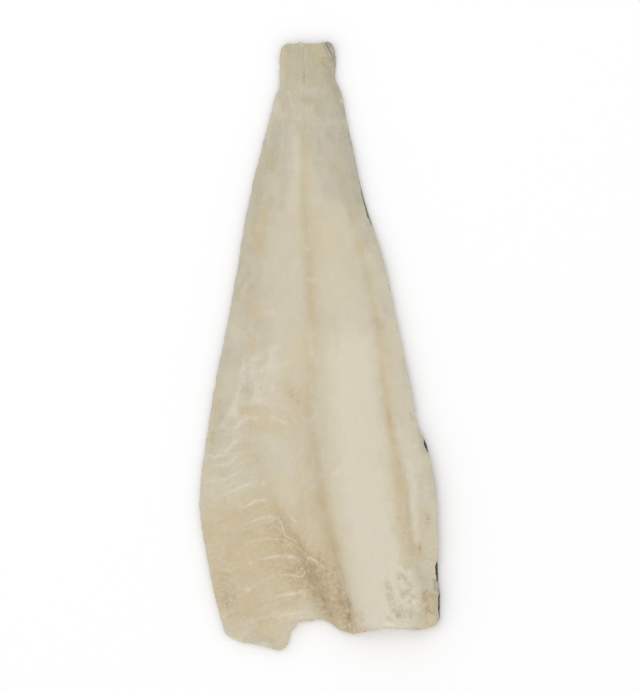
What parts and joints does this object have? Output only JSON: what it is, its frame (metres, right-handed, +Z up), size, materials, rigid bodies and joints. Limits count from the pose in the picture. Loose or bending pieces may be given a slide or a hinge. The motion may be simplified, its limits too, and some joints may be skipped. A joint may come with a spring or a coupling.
{
  "type": "salt cod fillet",
  "caption": "Side of dried salt cod lying flesh side up on its own thin skin, with a squared tail, a ridged loin, a thin belly flap and a rough cut head end.",
  "frame": {"origin": "middle of the bounding box's base, on the surface that the skin rests on", "axes": "+Y towards the tail, +X towards the back edge, +Z up from the skin to the flesh side"},
  "size_m": [0.198, 0.4996, 0.0258],
  "materials": {
    "flesh": "matt, dry and slightly waxy cured fish flesh, cream with tan creases and white membranes",
    "skin": "thin dry fish skin, mottled grey to olive at the back and pale at the belly"
  },
  "bodies": {
    "root": {"flesh": "flesh", "skin": "skin"}
  },
  "joints": []
}
